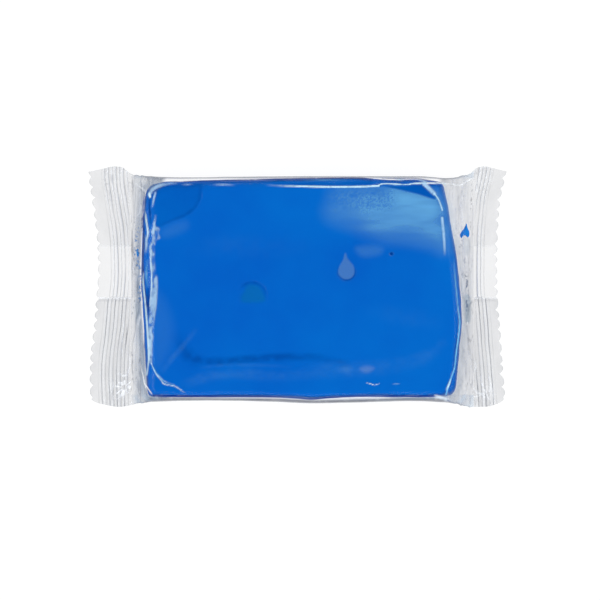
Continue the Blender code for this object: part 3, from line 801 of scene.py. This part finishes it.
def clay_material(name, deep, pale):
    """Matt blue clay, blotched between two blues."""
    made, nodes, links, shader = new_material(name)
    place = nodes.new("ShaderNodeTexCoord")
    lumps = nodes.new("ShaderNodeTexNoise")
    lumps.inputs["Scale"].default_value = 45.0
    lumps.inputs["Detail"].default_value = 3.0
    links.new(place.outputs["Object"], lumps.inputs["Vector"])
    ramp = nodes.new("ShaderNodeValToRGB")
    ramp.color_ramp.elements[0].position = 0.35
    ramp.color_ramp.elements[0].color = deep
    ramp.color_ramp.elements[1].position = 0.70
    ramp.color_ramp.elements[1].color = pale
    links.new(lumps.outputs["Fac"], ramp.inputs["Fac"])
    links.new(ramp.outputs["Color"], shader.inputs["Base Color"])
    grain = nodes.new("ShaderNodeTexNoise")
    grain.inputs["Scale"].default_value = 900.0
    grain.inputs["Detail"].default_value = 4.0
    links.new(place.outputs["Object"], grain.inputs["Vector"])
    bump = nodes.new("ShaderNodeBump")
    bump.inputs["Strength"].default_value = 0.08
    bump.inputs["Distance"].default_value = 0.0002
    links.new(grain.outputs["Fac"], bump.inputs["Height"])
    links.new(bump.outputs["Normal"], shader.inputs["Normal"])
    shader.inputs["Roughness"].default_value = 0.35
    shader.inputs["Specular IOR Level"].default_value = 0.02
    return made


def math_node(nodes, links, operation, *values, clamp=True):
    """A maths node fed by sockets or plain numbers."""
    node = nodes.new("ShaderNodeMath")
    node.operation = operation
    node.use_clamp = clamp
    for slot, value in enumerate(values):
        if isinstance(value, (int, float)):
            node.inputs[slot].default_value = value
        else:
            links.new(value, node.inputs[slot])
    return node.outputs["Value"]


def film_material():
    """Clear glossy film. Its paint says where it is milky or grey and where highlights, reflections
    and shade are painted on it, and elsewhere only its gloss shows.
    """
    made, nodes, links, shader = new_material("clear_film")
    paint = nodes.new("ShaderNodeAttribute")
    paint.attribute_name = "film"
    facing = nodes.new("ShaderNodeLayerWeight")
    facing.inputs["Blend"].default_value = 0.5
    # Seen at a slant its colour darkens towards RIM: partly the film's body seen along a longer way, partly
    # painted shade for its steep sides.
    tint = nodes.new("ShaderNodeMix")
    tint.data_type = "RGBA"
    links.new(math_node(nodes, links, "POWER", facing.outputs["Facing"], 1.6), tint.inputs["Factor"])
    links.new(paint.outputs["Color"], tint.inputs["A"])
    tint.inputs["B"].default_value = RIM + (1.0,)
    links.new(tint.outputs["Result"], shader.inputs["Base Color"])
    grazing = math_node(nodes, links, "POWER", facing.outputs["Facing"], 6.0)
    gloss = math_node(nodes, links, "MULTIPLY_ADD", grazing, 0.75, 0.008)
    # The more the film is turned from the viewer, the longer the way through it
    cosine = math_node(nodes, links, "SUBTRACT", EDGE_ON, facing.outputs["Facing"], clamp=False)
    way = math_node(nodes, links, "DIVIDE", EDGE_ON, cosine, clamp=False)
    clear = math_node(nodes, links, "SUBTRACT", 1.0, paint.outputs["Alpha"])
    bare = math_node(nodes, links, "POWER", clear, way)
    covered = math_node(nodes, links, "SUBTRACT", 1.0, bare)
    seen_gloss = math_node(nodes, links, "MULTIPLY", gloss, bare)
    alpha = math_node(nodes, links, "ADD", seen_gloss, covered)
    links.new(alpha, shader.inputs["Alpha"])
    links.new(math_node(nodes, links, "DIVIDE", seen_gloss, alpha), shader.inputs["Metallic"])
    shader.inputs["Roughness"].default_value = 0.10
    shader.inputs["IOR"].default_value = 1.5
    shader.inputs["Specular Tint"].default_value = EDGE + (1.0,)
    return made


# ---------------------------------------------------------------- the clay


def shape_clay(mesh):
    """Presses the slab's sides in and out a little and makes its faces gently uneven."""
    points = np.zeros(len(mesh.vertices) * 3)
    mesh.vertices.foreach_get("co", points)
    points = points.reshape(-1, 3) / MM
    x, y, z = points.T.copy()
    dy = through(x, FAR_DIPS) * ease((y - 17.0) / 7.0) + through(x, NEAR_BULGES) * ease((-y - 20.0) / 6.0)
    dx = through(y, LEFT_DIPS) * ease((-x - 33.0) / 4.0) + through(y, RIGHT_BULGES) * ease((x - 33.0) / 4.0)
    dy += 0.12 * rough_noise(x / 6.0, z / 5.0, 101) * ease((np.abs(y) - 22.0) / 4.0)
    dx += 0.12 * rough_noise(y / 5.0, z / 5.0, 103) * ease((np.abs(x) - 33.0) / 4.0)
    dz = 0.05 * rough_noise(x / 9.0, y / 7.0, 105) * ease((z - 8.0) / 2.0)
    moved = np.stack([x + dx, y + dy, z + dz], axis=1) * MM
    mesh.vertices.foreach_set("co", moved.ravel())
    mesh.update()


def make_clay(material):
    """The slab: the CAD solid made fine, with its facets smoothed away."""
    source = frame["nodes"]["clay_bar"]
    mesh = source.data.copy()
    mesh.name = "clay_slab"
    slab = bpy.data.objects.new("clay_slab", mesh)
    bpy.context.scene.collection.objects.link(slab)
    remesh = slab.modifiers.new("fine", "REMESH")
    remesh.mode = "VOXEL"
    remesh.voxel_size = 0.45 * MM
    smooth = slab.modifiers.new("soften", "SMOOTH")
    smooth.factor = 0.5
    smooth.iterations = 8
    baked = bpy.data.meshes.new_from_object(slab.evaluated_get(bpy.context.evaluated_depsgraph_get()))
    slab.modifiers.clear()
    slab.data = baked
    shape_clay(baked)
    baked.materials.clear()
    baked.materials.append(material)
    baked.shade_smooth()
    return slab


def slab_tree(slab):
    bm = bmesh.new()
    bm.from_mesh(slab.data)
    bmesh.ops.scale(bm, verts=bm.verts, vec=(1 / MM, 1 / MM, 1 / MM))
    tree = BVHTree.FromBMesh(bm)
    bm.free()
    return tree


def make_crumb(name, outline, thickness, material):
    """A flat crumb of clay, thickest in the middle, caught in the film beside the slab."""
    low, high = (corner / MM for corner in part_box(name))
    middle = Vector(((low.x + high.x) / 2, (low.y + high.y) / 2, (low.z + high.z) / 2))
    ring = outline[-2:] + outline + outline[:3]
    knots = np.arange(len(ring)) - 2.0
    fine = np.linspace(0, len(outline), 8 * len(outline) + 1)[:-1]
    xs = through(fine, list(zip(knots, [x for x, _ in ring])))
    ys = through(fine, list(zip(knots, [y for _, y in ring])))
    count = len(fine)
    bm = bmesh.new()
    levels = [(0.45, 0.9), (0.8, 0.65), (0.97, 0.25), (1.0, 0.0), (0.97, -0.25), (0.8, -0.65), (0.45, -0.9)]
    rings = []
    for share, rise in levels:
        lumps = 1 + 0.25 * noise(xs * 1.3, ys * 1.3, 111)
        z = middle.z + rise * lumps * thickness / 2
        at = zip(middle.x + share * xs, middle.y + share * ys, z)
        rings.append([bm.verts.new(Vector(spot) * MM) for spot in at])
    for upper, lower in zip(rings[:-1], rings[1:]):
        for i in range(count):
            bm.faces.new((upper[i], lower[i], lower[(i + 1) % count], upper[(i + 1) % count]))
    bm.faces.new(rings[0])
    bm.faces.new(rings[-1][::-1])
    bmesh.ops.recalc_face_normals(bm, faces=bm.faces)
    mesh = bpy.data.meshes.new(name + "_lump")
    bm.to_mesh(mesh)
    bm.free()
    mesh.shade_smooth()
    mesh.materials.append(material)
    crumb = bpy.data.objects.new(name + "_lump", mesh)
    bpy.context.scene.collection.objects.link(crumb)
    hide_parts(name)
    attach(crumb, "pack")


def fin_sheet():
    """The fin lying under the back film, its ends climbing to the end seals beside it."""
    xs = body_columns()
    rows = np.linspace(FIN_ROOT, FIN_HIGH.y, 60)
    points = np.zeros((len(xs), len(rows), 3))
    points[..., 0] = xs[:, None]
    points[..., 1] = rows
    share = taper(points[..., 0], points[..., 1], 1.5)
    ribs = rib_profile((FIN_HIGH.y - rows - 1.5) / RIB_PITCH % 1.0) * ease((FIN_HIGH.y - rows - 1.2) / 0.5)
    from_root = rows - FIN_ROOT
    drop = 0.06 + 0.20 * ease(from_root / 1.0) + 0.05 * ribs * ease(from_root / 1.5)
    points[..., 2] = SEAL_Z + (FILM_BOTTOM - SEAL_Z) * share - drop
    points[..., 2] = np.maximum(points[..., 2], 0.06)
    paint = bare_paint(points)
    flat = ease((share - 0.9) / 0.1)
    over(paint, GREY, flat * (0.13 + 0.03 * rough_noise(points[..., 0] / 5.0, points[..., 1] / 1.0, 121)))
    # painted highlights along the fin's ribs, and its climbing ends a little whiter
    over(paint, WHITE, 0.4 * flat * np.exp(-((ribs + 0.1) / 0.35) ** 2))
    over(paint, WHITE, 0.05 * (1 - flat))
    return points, grid_normals(points, False), paint


# ---------------------------------------------------------------- stage

# The camera looks straight down, from CAMERA_HEIGHT metres above the seals
CAMERA_X, CAMERA_Y = 0.5, -3.375
CAMERA_HEIGHT = 1.0
CAMERA_LENS = 240.0
# The floor reaches FLOOR_REACH metres each way, and lies FLOOR_DROP millimetres below the bar
FLOOR_REACH = 3.0
FLOOR_DROP = 0.1
# Each light's name, place in metres, size and power
LIGHTS = [
    ("key_left", (-0.55, -0.10, 0.60), (0.5, 0.5), 3.35),
    ("key_near", (0.05, -0.55, 0.60), (1.1, 0.8), 3.25),
    ("fill_right", (0.60, 0.05, 0.50), (0.7, 0.7), 2.6),
    ("fill_far", (0.0, 0.60, 0.60), (0.6, 0.4), 1.2),
]


def add_camera():
    data = bpy.data.cameras.new("camera")
    data.sensor_width = 36.0
    data.lens = CAMERA_LENS
    data.clip_end = 20.0
    made = bpy.data.objects.new("camera", data)
    made.location = (CAMERA_X * MM, CAMERA_Y * MM, CAMERA_HEIGHT + SEAL_Z * MM)
    bpy.context.scene.collection.objects.link(made)
    bpy.context.scene.camera = made


def add_light(name, place, size, power):
    data = bpy.data.lights.new(name, "AREA")
    data.shape = "RECTANGLE"
    data.size, data.size_y = size
    data.energy = power
    made = bpy.data.objects.new(name, data)
    made.location = place
    made.rotation_euler = (-Vector(place)).to_track_quat("-Z", "Y").to_euler()
    bpy.context.scene.collection.objects.link(made)


def add_floor():
    mesh = bpy.data.meshes.new("floor")
    corners = [(FLOOR_REACH * x, FLOOR_REACH * y, 0) for x, y in ((-1, -1), (1, -1), (1, 1), (-1, 1))]
    mesh.from_pydata(corners, [], [(0, 1, 2, 3)])
    floor = bpy.data.objects.new("floor", mesh)
    floor.location.z = -FLOOR_DROP * MM
    bpy.context.scene.collection.objects.link(floor)
    made, _, _, shader = new_material("pale_floor")
    shader.inputs["Base Color"].default_value = (0.1, 0.1, 0.1, 1)
    shader.inputs["Roughness"].default_value = 0.9
    shader.inputs["Emission Color"].default_value = (1, 1, 1, 1)
    shader.inputs["Emission Strength"].default_value = 0.92
    mesh.materials.append(made)


def add_sky():
    """A soft room: bright near the horizon and dim overhead."""
    world = bpy.data.worlds.new("studio")
    bpy.context.scene.world = world
    world.use_nodes = True
    nodes, links = world.node_tree.nodes, world.node_tree.links
    place = nodes.new("ShaderNodeTexCoord")
    split = nodes.new("ShaderNodeSeparateXYZ")
    links.new(place.outputs["Generated"], split.inputs["Vector"])
    ramp = nodes.new("ShaderNodeValToRGB")
    ramp.color_ramp.elements[0].position = 0.15
    ramp.color_ramp.elements[0].color = (0.85, 0.87, 0.90, 1.0)
    ramp.color_ramp.elements[1].position = 0.60
    ramp.color_ramp.elements[1].color = (0.06, 0.07, 0.08, 1.0)
    links.new(split.outputs["Z"], ramp.inputs["Fac"])
    links.new(ramp.outputs["Color"], nodes["Background"].inputs["Color"])
    nodes["Background"].inputs["Strength"].default_value = 1.0


def add_stage():
    add_camera()
    add_floor()
    for light in LIGHTS:
        add_light(*light)
    add_sky()
    bpy.context.scene.view_settings.view_transform = "Standard"


# ---------------------------------------------------------------- putting it together


def main():
    add_stage()
    clay = clay_material("blue_clay", (0.0, 0.108, 0.522, 1.0), (0.0, 0.135, 0.562, 1.0))
    # paler blue for the crumbs: partly thin clay letting light through, partly painted light making up for
    # the film's shadow on them
    thin_lit_clay = clay_material("thin_lit_blue_clay", (0.0, 0.24, 0.85, 1.0), (0.05, 0.45, 1.0, 1.0))
    film = film_material()
    slab = make_clay(clay)
    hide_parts("clay_bar")
    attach(slab, "pack")
    tree = slab_tree(slab)

    front = body_sheet(FILM_TOP - SEAL_Z, 1.25)
    front, distance = push_out(front, tree, CLING)
    front_paint = paint_body(front, distance)
    paint_marks(front, front_paint)
    front = wrinkle(front, grid_normals(front, True), distance, True)
    left, left_from_cut = seal_sheet(-1)
    right, right_from_cut = seal_sheet(1)
    left_paint = paint_seal(left, left_from_cut, LEFT_ROOT)
    right_paint = paint_seal(right, right_from_cut, RIGHT_ROOT)
    left = emboss_seal(left, left_from_cut, LEFT_ROOT)
    right = emboss_seal(right, right_from_cut, RIGHT_ROOT)
    whole = np.concatenate([left[:0:-1], front, right[1:]])
    paint = np.concatenate([left_paint[:0:-1], front_paint, right_paint[1:]])
    directions = grid_normals(whole, True)

    back = body_sheet(FILM_BOTTOM - SEAL_Z, 1.5)
    back, back_distance = push_out(back, tree, CLING)
    back_paint = paint_body(back, back_distance)
    back = wrinkle(back, grid_normals(back, False), back_distance, False)
    back_directions = grid_normals(back, False)

    xs = body_columns()
    strip_left = int(np.searchsorted(xs, LEFT_ROOT + END_STRIP))
    strip_right = int(np.searchsorted(xs, RIGHT_ROOT - END_STRIP))
    seal_columns = len(left) - 1

    def front_part(start, stop):
        return whole[start:stop], directions[start:stop], paint[start:stop]

    def back_part(start, stop):
        return back[start:stop], back_directions[start:stop], back_paint[start:stop]

    last = len(whole)
    cut_left, cut_right = seal_columns + strip_left, seal_columns + strip_right
    front_piece = make_object("film_front", [front_part(cut_left, cut_right + 1)], film)
    back_piece = make_object("film_back", [back_part(strip_left, strip_right + 1)], film)
    left_grids = [front_part(0, cut_left + 1), back_part(0, strip_left + 1)]
    right_grids = [front_part(cut_right, last), back_part(strip_right, len(xs))]
    left_piece = make_object("film_left_end", left_grids, film)
    right_piece = make_object("film_right_end", right_grids, film)
    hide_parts("film_front_panel")
    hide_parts("film_back_panel_fin_side", "film_back_panel_far_side")
    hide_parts("left_end_seal")
    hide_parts("right_end_seal")
    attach(front_piece, "pack")
    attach(back_piece, "pack")
    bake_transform(left_piece)
    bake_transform(right_piece)
    make_crumb("clay_crumb_right", RIGHT_CRUMB, 0.6, thin_lit_clay)
    make_crumb("clay_crumb_left", LEFT_CRUMB, 0.35, thin_lit_clay)

    fin = fin_sheet()
    fin_left = int(np.searchsorted(xs, FIN_LOW.x))
    fin_right = int(np.searchsorted(xs, FIN_HIGH.x))

    def fin_part(start, stop):
        return [tuple(field[start:stop] for field in fin)]

    fin_piece = make_object("film_fin", fin_part(fin_left, fin_right + 1), film)
    fin_left_end = make_object("film_fin_left_end", fin_part(0, fin_left + 1), film)
    fin_right_end = make_object("film_fin_right_end", fin_part(fin_right, len(xs)), film)
    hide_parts("back_fin_seal")
    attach(fin_piece, "back_fin")
    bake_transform(fin_left_end)
    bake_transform(fin_right_end)


main()
